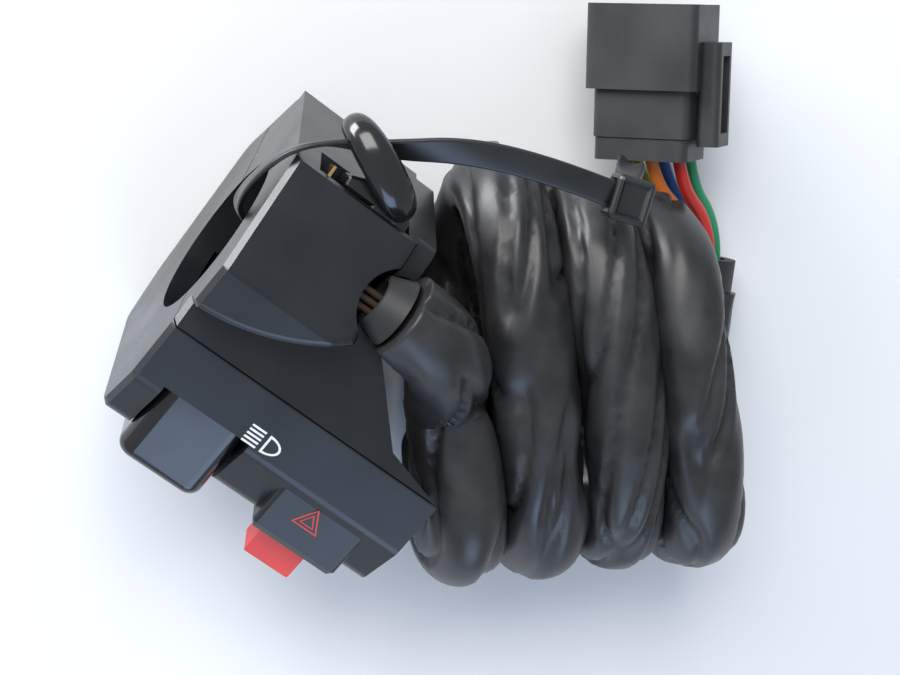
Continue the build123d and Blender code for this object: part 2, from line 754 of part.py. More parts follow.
# Grommet in the outlet, and the wires that come to it over the bar
with BuildPart() as loom_grommet:
    with BuildSketch(Plane.YZ.offset(grommet_x0)):
        with Locations((outlet_y, grommet_z)):
            Circle(grommet_r0)
    with BuildSketch(Plane.YZ.offset(grommet_x1)):
        with Locations((outlet_y, grommet_z)):
            Circle(grommet_r1)
    loft()
    with BuildSketch(Plane.YZ.offset(grommet_x0)):
        with Locations((outlet_y, grommet_z)):
            Circle(grommet_bore)
    extrude(amount=grommet_x1 - grommet_x0, mode=Mode.SUBTRACT)
save(loom_grommet, "loom_grommet")

with BuildPart() as inner_wires:
    for step in (0, 1, 2):
        wire_x = inner_wire_x + step * inner_wire_step
        wire_y = inner_wire_y - step * inner_wire_step
        with BuildLine() as path:
            FilletPolyline(*[(wire_x, y, z) for y, z in inner_wire_rise],
                           (wire_x, wire_y, passage_z), (inner_wire_end, wire_y, passage_z), radius=inner_wire_bend / 2)
        with BuildSketch(Plane(origin=path.line @ 0, z_dir=path.line % 0)):
            Circle(inner_wire_r)
        sweep(path=path.line)
save(inner_wires, "inner_wires")

# Loom: directions along and across the hank, on the ground
hank_e = (0.8083, 0.5888)
hank_top = 5.7
hank_low = loom_r - foot_z
hank_round = 10.8
hank_pitch = 11.3
hank_near = 30.5
hank_first = 16.5
hank_far = [(20.6, -17.5), (32.2, -14.0), (43.8, -11.0)]
lead_round = 9.2
lead_first = (clamp_end, outlet_y, outlet_z)
lead_second = (9.0, 5.2, 15.8)
lead_third = (15.3, 1.2, 5.7)
lead_cut = 14.5
tail_cut = 18.0
tail_end = -1.5
tail_mouth = 54.8
tail_mouth_across = -6.0
band_len = 4.5
band_bore = 3.7
band_gap = 0.1


def on_hank(along, across, z):
    return Vector(along * hank_e[0] + across * hank_e[1], along * hank_e[1] - across * hank_e[0], z)


def along_at(start, end, across):
    share = (across - start[1]) / (end[1] - start[1])
    return (start[0] + share * (end[0] - start[0]), across)


lead_on_hank = (lead_third[0] * hank_e[0] + lead_third[1] * hank_e[1],
                lead_third[0] * hank_e[1] - lead_third[1] * hank_e[0])
lead_stop = along_at(lead_on_hank, (hank_first, hank_near), lead_cut)
hank_last = hank_first + 3 * hank_pitch
tail_start = along_at((hank_last, hank_near), (tail_mouth, tail_mouth_across), tail_cut)
tail_stop = along_at((hank_last, hank_near), (tail_mouth, tail_mouth_across), tail_end)
band_stop = along_at((hank_last, hank_near), (tail_mouth, tail_mouth_across), tail_end - band_len)

hank_turns = [on_hank(*lead_stop, hank_top)]
for turn, far in enumerate(hank_far):
    near_along = hank_first + turn * hank_pitch
    hank_turns.append(on_hank(near_along, hank_near, hank_top))
    hank_turns.append(on_hank(near_along, hank_near, hank_low))
    hank_turns.append(on_hank(*far, hank_low))
    hank_turns.append(on_hank(*far, hank_top))
hank_turns.append(on_hank(hank_last, hank_near, hank_top))
hank_turns.append(on_hank(hank_last, hank_near, hank_low))
hank_turns.append(on_hank(*tail_start, hank_low))

with BuildPart() as loom_lead:
    with BuildLine() as path:
        FilletPolyline(lead_first, lead_second, lead_third, on_hank(*lead_stop, hank_top), radius=lead_round)
    with BuildSketch(Plane(origin=path.line @ 0, z_dir=path.line % 0)):
        Circle(loom_r)
    sweep(path=path.line)
save(loom_lead, "loom_lead")
lead_path = path.wires()[0]

with BuildPart() as loom_hank:
    with BuildLine() as path:
        FilletPolyline(*hank_turns, radius=hank_round)
    with BuildSketch(Plane(origin=path.line @ 0, z_dir=path.line % 0)):
        Circle(loom_r)
    sweep(path=path.line)
save(loom_hank, "loom_hank")
hank_path = path.wires()[0]

with BuildPart() as loom_tail:
    with BuildSketch(Plane(origin=on_hank(*tail_start, hank_low),
                           z_dir=on_hank(*tail_stop, hank_low) - on_hank(*tail_start, hank_low))):
        Circle(loom_r)
    extrude(amount=(on_hank(*tail_stop, hank_low) - on_hank(*tail_start, hank_low)).length)
save(loom_tail, "loom_tail")

# Wound band at the sheath's open end
band_dir = on_hank(*band_stop, hank_low) - on_hank(*tail_stop, hank_low)
band_at = Plane(origin=on_hank(*tail_stop, hank_low) + band_dir.normalized() * band_gap, z_dir=band_dir)
with BuildPart() as sheath_end_band:
    with BuildSketch(band_at):
        Circle(loom_r)
        Circle(band_bore, mode=Mode.SUBTRACT)
    extrude(amount=band_len)
save(sheath_end_band, "sheath_end_band")

# Connector on its edge beside the hank, wires in on the side that faces the hank
plug_along = 45.2
plug_across = -30.4
plug_tilt = 35.0
plug_width = 15.6
plug_height = 13.0
plug_back = 7.0
plug_front = 11.0
plug_round = 1.4
lock_t = 3.0
lock_inset = 1.2
collar_len = 11.5
collar_out = 1.0
latch_w = 7.0
latch_t = 2.6
latch_from = -6.0
latch_len = 14.0
latch_slot = 3.6
latch_frame = 1.8
socket_wall = 1.6
socket_deep = 7.0
cell_step = 4.2
cell_row = 2.9
cell_r = 1.25
wire_r = 0.9
wire_ring = 2.5
wire_round = 2.4
wire_leave = 4.0
wire_enter = 2.0
pin_len = 5.2
pin_side = 0.8
crimp_r = 1.1
crimp_len = 3.4

tilt_c = cos(radians(plug_tilt))
tilt_s = sin(radians(plug_tilt))
plug_z = plug_width / 2 * tilt_s + plug_height / 2 * tilt_c - foot_z + pin_gap
plug = Plane(
    origin=on_hank(plug_along, plug_across, plug_z),
    x_dir=(hank_e[0] * tilt_c, hank_e[1] * tilt_c, tilt_s),
    z_dir=(hank_e[1], -hank_e[0], 0),
)
cells = [(cell_step, cell_row), (0, cell_row), (-cell_step, cell_row),
         (-cell_step, -cell_row), (0, -cell_row), (cell_step, -cell_row)]

with BuildPart() as connector_body:
    with BuildSketch(plug.offset(-plug_front)):
        RectangleRounded(plug_width - 2 * collar_out, plug_height - 2 * collar_out, plug_round)
    extrude(amount=plug_front + plug_back)
    with BuildSketch(plug.offset(-plug_front)):
        RectangleRounded(plug_width, plug_height, plug_round)
    extrude(amount=collar_len)
    with BuildSketch(plug.offset(latch_from)):
        with Locations(((plug_width + latch_t - collar_out / 2) / 2, 0)):
            RectangleRounded(latch_t + collar_out / 2, latch_w, collar_out)
    extrude(amount=latch_len)
    with BuildSketch(Plane(origin=plug.from_local_coords((plug_width / 2, 0, latch_from + latch_len / 2)),
                           x_dir=plug.z_dir, z_dir=plug.x_dir)):
        Rectangle(latch_len - 2 * latch_frame, latch_slot)
    extrude(amount=latch_t, mode=Mode.SUBTRACT)
    with BuildSketch(plug.offset(-plug_front)):
        Rectangle(plug_width - 2 * collar_out - 2 * socket_wall, plug_height - 2 * collar_out - 2 * socket_wall)
    extrude(amount=socket_deep, mode=Mode.SUBTRACT)
    with BuildSketch(plug.offset(plug_back)):
        with Locations(*cells):
            Circle(cell_r)
    extrude(amount=-plug_front - plug_back, mode=Mode.SUBTRACT)
save(connector_body, "connector_body")

with BuildPart() as connector_rear_lock:
    with BuildSketch(plug.offset(plug_back + snug_gap)):
        RectangleRounded(plug_width - 2 * lock_inset, plug_height - 2 * lock_inset, plug_round)
        with Locations(*cells):
            Circle(cell_r, mode=Mode.SUBTRACT)
    extrude(amount=lock_t)
save(connector_rear_lock, "connector_rear_lock")

pin_root = plug.offset(-plug_front + socket_deep)
with BuildPart() as connector_terminals:
    for cell in cells:
        with BuildSketch(pin_root.offset(-pin_len)):
            with Locations(cell):
                Rectangle(pin_side, pin_side)
        extrude(amount=pin_len)
        with BuildSketch(pin_root):
            with Locations(cell):
                Circle(crimp_r)
        extrude(amount=crimp_len)
save(connector_terminals, "connector_terminals")

# Six wires from the sheath's end to the terminals
wire_names = ["wire_red", "wire_orange", "wire_brown", "wire_green_yellow", "wire_blue", "wire_green"]
ring = Plane(origin=band_at.origin, x_dir=plug.x_dir, z_dir=-band_at.z_dir)
for name, cell in zip(wire_names, cells):
    reach = (cell[0] ** 2 + cell[1] ** 2) ** 0.5
    ring_x = wire_ring * cell[0] / reach
    ring_y = wire_ring * cell[1] / reach
    with BuildPart() as wire:
        with BuildLine() as path:
            FilletPolyline(ring.from_local_coords((ring_x, ring_y, -fit_gap)),
                           ring.from_local_coords((ring_x, ring_y, -band_len - wire_leave)),
                           plug.from_local_coords((*cell, plug_back + lock_t + wire_enter)),
                           plug.from_local_coords((*cell, crimp_len + socket_deep - plug_front + pin_gap)),
                           radius=wire_round)
        with BuildSketch(Plane(origin=path.line @ 0, z_dir=path.line % 0)):
            Circle(wire_r)
        sweep(path=path.line)
    save(wire, name)

# Least gap of the hank to itself, and the lengths
count = round(hank_path.length)
points = [hank_path @ (k / count) for k in range(count + 1)]
gaps = [(points[a] - points[b]).length - loom_d
        for a in range(count + 1) for b in range(a + round(3 * loom_d), count + 1)]
print("least gap of the hank to itself", round(min(gaps), 2))
print("loom length", round(lead_path.length + hank_path.length + loom_tail.part.volume / (pi * loom_r ** 2)))
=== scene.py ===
import bmesh
import bpy
import json
from math import cos, pi, radians, sin
from mathutils import Matrix, Vector, bvhtree, noise


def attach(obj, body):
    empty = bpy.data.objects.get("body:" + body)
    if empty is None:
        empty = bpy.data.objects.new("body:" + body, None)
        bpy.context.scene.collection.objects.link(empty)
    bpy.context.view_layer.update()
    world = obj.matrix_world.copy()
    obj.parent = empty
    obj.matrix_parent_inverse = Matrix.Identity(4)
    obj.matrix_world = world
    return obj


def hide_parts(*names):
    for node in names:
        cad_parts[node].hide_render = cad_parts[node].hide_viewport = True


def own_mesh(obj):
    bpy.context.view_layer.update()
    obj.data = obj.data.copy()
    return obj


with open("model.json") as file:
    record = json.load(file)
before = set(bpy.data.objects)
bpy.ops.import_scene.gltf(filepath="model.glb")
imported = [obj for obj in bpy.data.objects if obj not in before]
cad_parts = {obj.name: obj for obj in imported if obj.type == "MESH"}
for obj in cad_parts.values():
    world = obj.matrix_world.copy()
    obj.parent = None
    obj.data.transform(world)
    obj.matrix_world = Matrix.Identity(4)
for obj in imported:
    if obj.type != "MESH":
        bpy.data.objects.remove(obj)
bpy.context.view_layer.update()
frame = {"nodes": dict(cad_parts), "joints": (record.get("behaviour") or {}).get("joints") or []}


# Moulded housing. Two halves of dark grey plastic with a fine spark-eroded grain, screwed together round
# the bar. The grain group goes into every finish below, each with its own scales.
grain_scale, patch_scale = 4000.0, 90.0


def make_grain():
    group = bpy.data.node_groups.new("surface grain", "ShaderNodeTree")
    for label, value in (("Grain scale", grain_scale), ("Patch scale", patch_scale)):
        socket = group.interface.new_socket(label, in_out="INPUT", socket_type="NodeSocketFloat")
        socket.default_value = value
    group.interface.new_socket("Height", in_out="OUTPUT", socket_type="NodeSocketFloat")
    group.interface.new_socket("Patch", in_out="OUTPUT", socket_type="NodeSocketFloat")
    nodes, links = group.nodes, group.links
    entry, leave = nodes.new("NodeGroupInput"), nodes.new("NodeGroupOutput")
    place = nodes.new("ShaderNodeTexCoord")
    fine, coarse = nodes.new("ShaderNodeTexNoise"), nodes.new("ShaderNodeTexNoise")
    fine.inputs["Detail"].default_value = 3
    coarse.inputs["Detail"].default_value = 6
    links.new(place.outputs["Object"], fine.inputs["Vector"])
    links.new(place.outputs["Object"], coarse.inputs["Vector"])
    links.new(entry.outputs["Grain scale"], fine.inputs["Scale"])
    links.new(entry.outputs["Patch scale"], coarse.inputs["Scale"])
    links.new(fine.outputs["Fac"], leave.inputs["Height"])
    links.new(coarse.outputs["Fac"], leave.inputs["Patch"])
    return group


grain = make_grain()


def finish(name, dark, light, smooth, rough, metallic=0.0, scale=grain_scale, patch=patch_scale, bump=0.15,
           depth=0.00003, coat=0.0):
    """A Principled material whose colour and roughness wander between two values in soft patches."""
    tone_from, tone_to = 0.35, 0.68
    gloss_from, gloss_to = 0.3, 0.7
    coat_rough = 0.08
    material = bpy.data.materials.new(name)
    material.use_nodes = True
    nodes, links = material.node_tree.nodes, material.node_tree.links
    shader = nodes["Principled BSDF"]
    shader.inputs["Metallic"].default_value = metallic
    shader.inputs["Coat Weight"].default_value = coat
    shader.inputs["Coat Roughness"].default_value = coat_rough
    surface = nodes.new("ShaderNodeGroup")
    surface.node_tree = grain
    surface.inputs["Grain scale"].default_value = scale
    surface.inputs["Patch scale"].default_value = patch
    tone = nodes.new("ShaderNodeValToRGB")
    for stop, position, colour in zip(tone.color_ramp.elements, (tone_from, tone_to), (dark, light)):
        stop.position = position
        stop.color = (*colour, 1)
    gloss = nodes.new("ShaderNodeMapRange")
    gloss.inputs["From Min"].default_value, gloss.inputs["From Max"].default_value = gloss_from, gloss_to
    gloss.inputs["To Min"].default_value, gloss.inputs["To Max"].default_value = smooth, rough
    relief = nodes.new("ShaderNodeBump")
    relief.inputs["Strength"].default_value = bump
    relief.inputs["Distance"].default_value = depth
    links.new(surface.outputs["Patch"], tone.inputs["Fac"])
    links.new(surface.outputs["Patch"], gloss.inputs["Value"])
    links.new(tone.outputs["Color"], shader.inputs["Base Color"])
    links.new(gloss.outputs["Result"], shader.inputs["Roughness"])
    links.new(surface.outputs["Height"], relief.inputs["Height"])
    links.new(relief.outputs["Normal"], shader.inputs["Normal"])
    return material


def dress(material, *names):
    """Gives CAD pieces their finish."""
    for name in names:
        piece = frame["nodes"][name]
        piece.data.materials.clear()
        piece.data.materials.append(material)


housing_plastic = finish("housing plastic", (0.0075, 0.0085, 0.011), (0.0125, 0.014, 0.018), 0.24, 0.34,
                         bump=0.25)
dress(housing_plastic, "front_housing", "rear_housing")


# Dimmer rocker and passing-light trigger. Glossy black mouldings, polished by the thumb and forefinger.
# Both turn on steel pins. The rocker keeps its CAD shape, and the trigger is made in the next section.
lever_plastic = finish("lever plastic", (0.007, 0.007, 0.008), (0.011, 0.011, 0.013), 0.12, 0.24, bump=0.05,
                       coat=0.3)
dress(lever_plastic, "dimmer_rocker", "passing_trigger")


# Lever of the passing-light trigger, one moulding. It ends in an upright ring with a wider upper bar, which
# the forefinger hooks. Its foot runs back under the front half's roof to the pivot pin.
foot_plan = [(-3.4, 11.2), (-3.4, 15.0), (-8.0, 17.4), (-10.6, 18.2), (-10.4, 16.6), (-13.2, 15.6),
             (-13.0, 14.0), (-8.8, 14.0), (-8.4, 11.2)]
foot_bottom, foot_height, foot_round = 0.0083, 0.0048, 0.0004
ring_centre = Vector((-0.0108, 0.0183, 0.0130))
ring_along = Vector((0.91, -0.415, 0)).normalized()
ring_reach, ring_rise = 0.00615, 0.00335
ring_thick, ring_wide, ring_flare = 0.00125, 0.0016, 0.0008
ring_steps, section_steps = 40, 14


def ring_section(shape, angle):
    """One oval section of the ring, angle being its place round the ring's hole."""
    level = ring_along * cos(angle) * ring_reach + Vector((0, 0, sin(angle) * ring_rise))
    outward = (ring_along * cos(angle) / ring_reach + Vector((0, 0, sin(angle) / ring_rise))).normalized()
    across = ring_along.cross(Vector((0, 0, 1))) * (ring_wide + ring_flare * max(0.0, sin(angle)))
    turns = [2 * pi * n / section_steps for n in range(section_steps)]
    return [shape.verts.new(ring_centre + level + outward * cos(turn) * ring_thick + across * sin(turn))
            for turn in turns]


def join_rings(shape, low, high):
    """Lays smooth faces between two rings of corners."""
    sides = len(low)
    for n in range(sides):
        face = shape.faces.new((low[n], low[(n + 1) % sides], high[(n + 1) % sides], high[n]))
        face.smooth = True


def settle(name, shape, material):
    """Makes a finished bmesh an object of its own."""
    mesh = bpy.data.meshes.new(name)
    shape.to_mesh(mesh)
    shape.free()
    mesh.materials.append(material)
    piece = bpy.data.objects.new(name, mesh)
    bpy.context.collection.objects.link(piece)
    return piece


lever = bmesh.new()
foot = lever.faces.new([lever.verts.new((x / 1000, y / 1000, foot_bottom)) for x, y in foot_plan])
raised = bmesh.ops.extrude_face_region(lever, geom=[foot])["geom"]
foot_top = [part for part in raised if isinstance(part, bmesh.types.BMVert)]
bmesh.ops.translate(lever, vec=(0, 0, foot_height), verts=foot_top)
bmesh.ops.bevel(lever, geom=lever.edges[:], offset=foot_round, offset_type="OFFSET", segments=2, profile=0.5,
                affect="EDGES", material=-1)
sections = [ring_section(lever, 2 * pi * k / ring_steps) for k in range(ring_steps)]
for low, high in zip(sections, sections[1:] + sections[:1]):
    join_rings(lever, low, high)
bmesh.ops.recalc_face_normals(lever, faces=lever.faces[:])
trigger_lever = settle("trigger_lever", lever, lever_plastic)
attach(trigger_lever, "trigger")
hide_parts("passing_trigger")


# Push buttons and the turn-signal knob, moulded in coloured plastic. The hazard button is red and slightly
# dusty, the others are black.
red_plastic = finish("red button plastic", (0.62, 0.022, 0.016), (0.75, 0.05, 0.035), 0.28, 0.42, bump=0.2)
thumb_plastic = finish("thumb plastic", (0.016, 0.016, 0.018), (0.024, 0.024, 0.027), 0.28, 0.4, bump=0.2)
dress(red_plastic, "hazard_button")
dress(thumb_plastic, "horn_button", "turn_signal_knob")


# Switch works behind the face: insulating bases, a nylon carrier, brass contacts, and steel pins, screws,
# springs and detent ball. The connector's brass terminals have the contacts' finish.
board = finish("insulating board", (0.12, 0.055, 0.025), (0.2, 0.1, 0.045), 0.5, 0.65, patch=300.0)
nylon = finish("natural nylon", (0.62, 0.6, 0.54), (0.72, 0.7, 0.64), 0.4, 0.55)
brass = finish("stamped brass", (0.62, 0.42, 0.16), (0.78, 0.56, 0.26), 0.22, 0.4, metallic=1.0, patch=400.0)
steel = finish("zinc-plated steel", (0.5, 0.5, 0.48), (0.68, 0.68, 0.67), 0.24, 0.42, metallic=1.0,
               patch=400.0)
dress(board, "inner_plate", "dimmer_contact_base", "horn_contact_base", "turn_contact_base",
      "trigger_contact_base")
dress(nylon, "turn_signal_carrier", "hazard_switch_base")
dress(brass, "dimmer_contacts", "horn_contact_bridge", "horn_contacts", "turn_contact_bridge",
      "turn_contacts", "hazard_contact_bridge", "hazard_contacts", "trigger_contact_blade",
      "connector_terminals")
dress(steel, "housing_screws", "plate_screws", "dimmer_pin", "trigger_pin", "turn_detent_ball",
      "dimmer_spring", "horn_spring", "turn_detent_spring", "hazard_spring", "trigger_spring")


# Springs that the joints squeeze, coiled from steel wire. Each is a copy of its CAD coil with a mesh of its
# own, hung on the housing in place of the CAD coil.
joints = {joint["name"]: joint for joint in frame["joints"]}
push_in, pull_back = Vector(joints["horn_press"]["axis"]), Vector((0, -1, 0))
horn_travel, hazard_travel = joints["horn_press"]["range_m"][1], joints["hazard_press"]["range_m"][1]
trigger_travel = 0.0008
for name, joint, squeeze, travel in (("horn_spring", "horn_press", push_in, horn_travel),
                                     ("hazard_spring", "hazard_press", push_in, hazard_travel),
                                     ("trigger_spring", "trigger_pull", pull_back, trigger_travel)):
    coil = frame["nodes"][name].copy()
    coil.data = coil.data.copy()
    coil.name = name.replace("spring", "coil")
    bpy.context.collection.objects.link(coil)
    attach(coil, "housing")
    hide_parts(name)
    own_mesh(coil)


# Symbols. Pad-printed ink on the rider's facets: a headlamp beam in white and the hazard triangle in red.
# Each is a thin film laid on the moulding.
ink_film = 0.00004
look_above, look_reach = 0.004, 0.012


def ink(name, colour):
    return finish(name, [0.88 * c for c in colour], colour, 0.45, 0.6, patch=900.0, bump=0.1)


def printed(name, strokes, centre, right, up, material):
    """Fills closed outlines drawn in millimetres and lays them on the rear half's surface."""
    right, up = Vector(right).normalized(), Vector(up).normalized()
    outward = right.cross(up)
    surface = bvhtree.BVHTree.FromObject(frame["nodes"]["rear_housing"],
                                         bpy.context.evaluated_depsgraph_get())
    sheet = bmesh.new()
    for stroke in strokes:
        sheet.faces.new([sheet.verts.new((x / 1000, y / 1000, 0)) for x, y in stroke])
    bmesh.ops.triangulate(sheet, faces=sheet.faces[:])
    bmesh.ops.subdivide_edges(sheet, edges=sheet.edges[:], cuts=2, use_grid_fill=True)
    for vert in sheet.verts:
        above = Vector(centre) + right * vert.co.x + up * vert.co.y + outward * look_above
        hit = surface.ray_cast(above, -outward, look_reach)[0]
        vert.co = (hit or above - outward * look_above) + outward * ink_film
    bmesh.ops.recalc_face_normals(sheet, faces=sheet.faces[:])
    piece = settle(name, sheet, material)
    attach(piece, "housing")


def bar_stroke(x0, y0, x1, y1, width):
    """A straight stroke as its four corners."""
    along = Vector((x1 - x0, y1 - y0)).normalized() * width / 2
    side = Vector((-along.y, along.x))
    return [(x0 - side.x, y0 - side.y), (x1 - side.x, y1 - side.y), (x1 + side.x, y1 + side.y),
            (x0 + side.x, y0 + side.y)]


def half_oval(start, bulge, half_height):
    """Points from the foot of a lens round its bulging side to its top."""
    return [(start + bulge * sin(radians(t)), -half_height * cos(radians(t))) for t in range(0, 181, 15)]


def corners(reach):
    return [(reach * sin(radians(t)), reach * cos(radians(t))) for t in (0, 120, 240)]


def triangle(reach, width):
    """An upright triangular ring as three strokes."""
    outer, inner = corners(reach), corners(reach - 2 * width)
    return [[outer[k], outer[(k + 1) % 3], inner[(k + 1) % 3], inner[k]] for k in range(3)]


lens_outer, lens_inner = half_oval(0.1, 2.3, 1.35), half_oval(0.42, 1.65, 1.0)
lens = [[lens_outer[k], lens_outer[k + 1], lens_inner[k + 1], lens_inner[k]]
        for k in range(len(lens_outer) - 1)]
lens.append([lens_outer[-1], lens_outer[0], lens_inner[0], lens_inner[-1]])
beam_from, beam_to, beam_width = -2.6, -0.5, 0.3
beams = [bar_stroke(beam_from, y, beam_to, y, beam_width) for y in (1.2, 0.6, 0.0, -0.6, -1.2)]
printed("headlamp_symbol", lens + beams, (-0.0017, -0.0172, 0.01085), (1, 0, 0), (0, 0.961, 0.276),
        ink("white ink", (0.8, 0.8, 0.8)))
block_lean = radians(19)
printed("hazard_symbol", triangle(2.3, 0.2) + triangle(1.25, 0.15), (0.0096, -0.0225, 0.0085), (1, 0, 0),
        (0, cos(block_lean), sin(block_lean)), ink("red ink", (0.62, 0.06, 0.03)))


# Grommet. Soft black rubber pressed into the outlet, where the loom leaves the front half. It keeps the
# loom off the plastic's edge.
soft_rubber = finish("grommet rubber", (0.012, 0.012, 0.013), (0.02, 0.02, 0.022), 0.5, 0.65, bump=0.3)
dress(soft_rubber, "loom_grommet")


# Loom sheath. One long soft tube of thin black sleeving, limp round the wires, folded into a hank of four
# strands over four, with its end taped. It is slack, so it creases, and it lies flat on the table.
along_x, along_y = 0.8083, 0.5888
hank_top, hank_low, hank_far = 5.7, -17.3, 30.5
sheath_radius, sheath_diameter, sheath_steps, sheath_sides = 0.0056, 0.0104, 40, 48
ground = -0.0225


def on_hank(along, across, z):
    """A place given in millimetres along the row of strands, across it and upwards."""
    return Vector((along * along_x + across * along_y, along * along_y - across * along_x, z)) / 1000


outlet = (0.0015, 0.0053, 0.0162)
mouth = on_hank(54.3, -1.5, hank_low)
sheath_route = [outlet, (0.009, 0.0052, 0.0158), (0.0153, 0.0012, 0.0057), on_hank(14.0, 14.5, hank_top)]
for far_along, near_along, near_end in ((16.5, 20.6, -17.5), (27.8, 32.2, -14.0), (39.1, 43.8, -11.0)):
    sheath_route += [on_hank(far_along, hank_far, hank_top), on_hank(far_along, hank_far, hank_low),
                     on_hank(near_along, near_end, hank_low), on_hank(near_along, near_end, hank_top)]
sheath_route += [on_hank(50.4, hank_far, hank_top), on_hank(50.4, hank_far, hank_low),
                 on_hank(51.9, 18.0, hank_low), mouth]


def route_curve(name, points, radius, steps, roundness=0):
    """A smooth curve drawn by those points, given that radius."""
    curve = bpy.data.curves.new(name, "CURVE")
    curve.dimensions = "3D"
    curve.resolution_u = steps
    curve.bevel_depth = radius
    curve.bevel_resolution = roundness
    curve.use_fill_caps = radius > 0
    spline = curve.splines.new("NURBS")
    spline.points.add(len(points) - 1)
    for point, place in zip(spline.points, points):
        point.co = (*place, 1)
    spline.order_u = 3
    spline.use_endpoint_u = True
    piece = bpy.data.objects.new(name, curve)
    bpy.context.collection.objects.link(piece)
    return piece


def curve_points(points, steps=24):
    route = route_curve("route", points, 0, steps)
    bare = bpy.data.meshes.new_from_object(route.evaluated_get(bpy.context.evaluated_depsgraph_get()))
    found = [vert.co.copy() for vert in bare.vertices]
    bpy.data.objects.remove(route)
    return found


def path_length(path):
    return sum((b - a).length for a, b in zip(path, path[1:]))


def crease(s, angle):
    """How far the slack sleeve stands off its round form, in metres, s along it in millimetres."""
    swell_length, swell_round, swell_height = 17, 0.6, 0.0014
    fold_length, fold_round, fold_depth, fold_narrow = 15, 1.3, 0.0013, 6
    ripple_length, ripple_round, ripple_height = 6.0, 1.6, 0.00035
    around = Vector((cos(angle), sin(angle), 0)) * 0.8
    swell = noise.noise(Vector((s / swell_length, 3.1, 0)) + around * swell_round) * swell_height
    sharp = noise.noise(Vector((s / fold_length, 0, 7.7)) + around * fold_round)
    fold = -fold_depth * max(0.0, 1 - abs(sharp) * fold_narrow) ** 1.4
    ripple = noise.noise(Vector((s / ripple_length, 9.0, 1.4)) + around * ripple_round) * ripple_height
    return swell + fold + ripple


def slack_tube(name, path, radius, sides, material):
    """A creased tube round the path, which goes no lower than the ground."""
    tube = bmesh.new()
    rings = []
    travelled = 0
    side = (path[1] - path[0]).normalized().orthogonal().normalized()
    for k, place in enumerate(path):
        ahead = (path[min(k + 1, len(path) - 1)] - path[max(k - 1, 0)]).normalized()
        side = (side - ahead * side.dot(ahead)).normalized()
        other = ahead.cross(side)
        if k:
            travelled += (place - path[k - 1]).length * 1000
        ring = []
        for n in range(sides):
            angle = 2 * pi * n / sides
            reach = radius + crease(travelled, angle)
            skin = place + (side * cos(angle) + other * sin(angle)) * reach
            skin.z = max(skin.z, ground)
            ring.append(tube.verts.new(skin))
        rings.append(ring)
    for low, high in zip(rings, rings[1:]):
        join_rings(tube, low, high)
    tube.faces.new(rings[0][::-1])
    tube.faces.new(rings[-1])
    bmesh.ops.recalc_face_normals(tube, faces=tube.faces[:])
    return settle(name, tube, material)


sheath_skin = finish("sheath skin", (0.014, 0.014, 0.015), (0.03, 0.03, 0.032), 0.3, 0.46, patch=160.0,
                     scale=2500.0, bump=0.25, depth=0.00004)
sheath_path = curve_points(sheath_route, sheath_steps)
sheath = slack_tube("loom_sheath", sheath_path, sheath_radius, sheath_sides, sheath_skin)
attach(sheath, "housing")
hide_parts("loom_lead", "loom_hank", "loom_tail")
band_cloth = finish("band tape", (0.012, 0.012, 0.013), (0.022, 0.022, 0.024), 0.5, 0.7, scale=3000.0,
                    bump=0.5)
dress(band_cloth, "sheath_end_band")


# Connector. Black nylon plug with its rear lock, lying on one edge on the table. Six coloured wires come
# out of the sheath's mouth and fan out to its cells, where each is crimped in a terminal.
connector_nylon = finish("connector nylon", (0.02, 0.021, 0.023), (0.032, 0.033, 0.036), 0.4, 0.55, bump=0.4)
dress(connector_nylon, "connector_body", "connector_rear_lock")

plug_width, plug_height, plug_floor = 15.6, 13, -22.45
plug_along, plug_across, plug_tilt = 45.2, -30.4, radians(35)
plug_x = Vector((along_x * cos(plug_tilt), along_y * cos(plug_tilt), sin(plug_tilt)))
plug_z = Vector((along_y, -along_x, 0))
plug_y = plug_z.cross(plug_x)
plug_at = on_hank(plug_along, plug_across,
                  plug_width / 2 * sin(plug_tilt) + plug_height / 2 * cos(plug_tilt) + plug_floor)
cell_step, cell_rise, crimp_depth, plug_lead = 4.2, 2.9, 0.00055, 0.012

mouth_gap, mouth_spread, mouth_lead = 0.0001, 0.0025, 0.0085
mouth_dir = (on_hank(54.8, -6.0, hank_low) - mouth).normalized()
mouth_at = mouth + mouth_dir * mouth_gap
ring_z = -mouth_dir
ring_x = (plug_x - ring_z * plug_x.dot(ring_z)).normalized()
ring_y = ring_z.cross(ring_x)

wire_radius, wire_start, wire_steps, wire_roundness = 0.0009, 0.0003, 12, 4
insulation = {
    "wire_red": (1, 1, (0.62, 0.03, 0.02)),
    "wire_orange": (0, 1, (0.85, 0.22, 0.03)),
    "wire_brown": (-1, 1, (0.14, 0.1, 0.08)),
    "wire_green_yellow": (-1, -1, (0.4, 0.5, 0.05)),
    "wire_blue": (0, -1, (0.03, 0.14, 0.5)),
    "wire_green": (1, -1, (0.02, 0.3, 0.13)),
}
for name, (column, row, colour) in insulation.items():
    cell_x, cell_y = column * cell_step, row * cell_rise
    offset = (ring_x * cell_x + ring_y * cell_y) * mouth_spread / (cell_x ** 2 + cell_y ** 2) ** 0.5
    seat = plug_at + (plug_x * cell_x + plug_y * cell_y) / 1000
    run = [mouth_at + offset - ring_z * wire_start, mouth_at + offset - ring_z * mouth_lead,
           seat + plug_z * plug_lead, seat - plug_z * crimp_depth]
    wire = route_curve("cable_" + name, run, wire_radius, wire_steps, wire_roundness)
    wire.data.materials.append(finish(name + " insulation", [0.8 * c for c in colour], colour, 0.3, 0.45,
                                      bump=0.1))
    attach(wire, "housing")
    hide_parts(name)
    path_length(curve_points(run))


